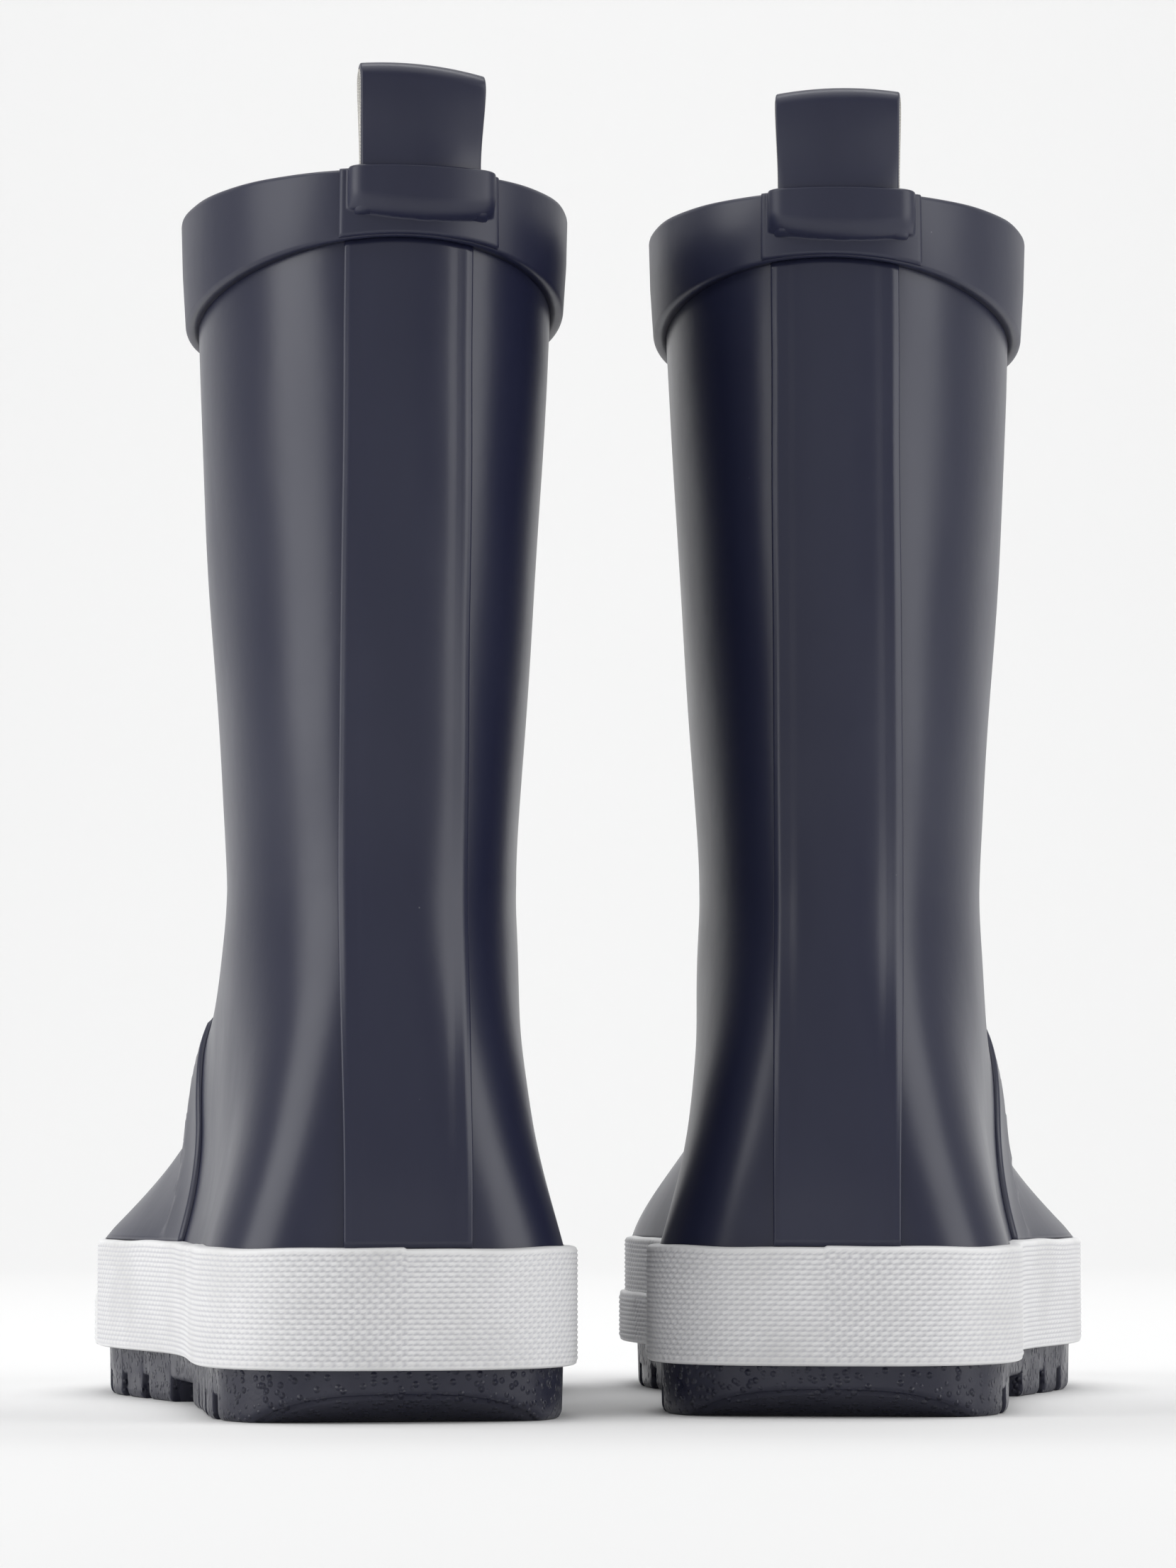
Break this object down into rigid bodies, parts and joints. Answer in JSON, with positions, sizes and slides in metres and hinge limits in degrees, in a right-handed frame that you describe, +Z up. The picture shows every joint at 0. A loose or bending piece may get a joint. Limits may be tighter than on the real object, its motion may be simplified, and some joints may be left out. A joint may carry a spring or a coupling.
{
  "type": "deck boots",
  "caption": "Pair of child's rubber deck boots: shaft and vamp in glossy rubber, pale foxing, lugged sole, collar band and a pull loop at the back.",
  "frame": {"origin": "on the ground, at the middle of the pair's bounding box", "axes": "+Z up, +Y towards the toes, +X from the left boot to the right boot"},
  "size_m": [0.2156, 0.2455, 0.258],
  "materials": {
    "upper_rubber": "glossy satin vulcanised rubber",
    "collar_rubber": "satin rubber, slightly duller than the shaft",
    "loop_rubber": "rubber-faced strap with fine scuffs",
    "foxing_rubber": "pale grey rubber with rows of small raised pips",
    "outsole_rubber": "dull navy rubber with a pebbled side",
    "lining_knit": "fine cotton knit bonded to the rubber",
    "cotton_webbing": "white cotton webbing with a raw edge",
    "ply_board": "rubberised stiffening cloth",
    "fibre_board": "pressed cellulose board",
    "filler_cork": "ground cork filler",
    "footbed_foam": "closed-cell foam",
    "footbed_cloth": "fine woven cover"
  },
  "bodies": {
    "left_boot": {"left_upper": "upper_rubber", "left_vamp_overlay": "upper_rubber", "left_back_strip": "upper_rubber", "left_lining": "lining_knit", "left_heel_counter": "ply_board", "left_toe_puff": "ply_board", "left_lasting_board": "fibre_board", "left_midsole_filler": "filler_cork", "left_outsole": "outsole_rubber", "left_foxing": "foxing_rubber", "left_toe_guard": "foxing_rubber", "left_collar_band": "collar_rubber", "left_collar_patch": "collar_rubber", "left_loop_anchor": "loop_rubber"},
    "left_loop": {"left_pull_loop": "loop_rubber", "left_loop_webbing": "cotton_webbing"},
    "left_footbed": {"left_footbed_foam": "footbed_foam", "left_footbed_cover": "footbed_cloth"},
    "right_boot": {"right_upper": "upper_rubber", "right_vamp_overlay": "upper_rubber", "right_back_strip": "upper_rubber", "right_lining": "lining_knit", "right_heel_counter": "ply_board", "right_toe_puff": "ply_board", "right_lasting_board": "fibre_board", "right_midsole_filler": "filler_cork", "right_outsole": "outsole_rubber", "right_foxing": "foxing_rubber", "right_toe_guard": "foxing_rubber", "right_collar_band": "collar_rubber", "right_collar_patch": "collar_rubber", "right_loop_anchor": "loop_rubber"},
    "right_loop": {"right_pull_loop": "loop_rubber", "right_loop_webbing": "cotton_webbing"},
    "right_footbed": {"right_footbed_foam": "footbed_foam", "right_footbed_cover": "footbed_cloth"}
  },
  "joints": [
    {"name": "right_boot_lift", "type": "slide", "parent": "left_boot", "child": "right_boot", "axis": [0, 0, 1], "range_m": [0, 0.3]},
    {"name": "left_loop_flex", "type": "hinge", "parent": "left_boot", "child": "left_loop", "pos_m": [-0.03537, -0.11795, 0.2407], "axis": [0.9877, 0.1564, 0], "range_deg": [-60, 50], "stiffness_Nm_per_rad": 0.02},
    {"name": "right_loop_flex", "type": "hinge", "parent": "right_boot", "child": "right_loop", "pos_m": [0.04452, -0.09598, 0.2407], "axis": [0.9954, -0.0958, 0], "range_deg": [-60, 50], "stiffness_Nm_per_rad": 0.02},
    {"name": "left_footbed_lift", "type": "hinge", "parent": "left_boot", "child": "left_footbed", "pos_m": [-0.0683, 0.08996, 0.0182], "axis": [-0.9877, -0.1564, 0], "range_deg": [0, 3.8]},
    {"name": "right_footbed_lift", "type": "hinge", "parent": "right_boot", "child": "right_footbed", "pos_m": [0.06469, 0.11355, 0.0182], "axis": [-0.9954, 0.0958, 0], "range_deg": [0, 3.8]}
  ]
}
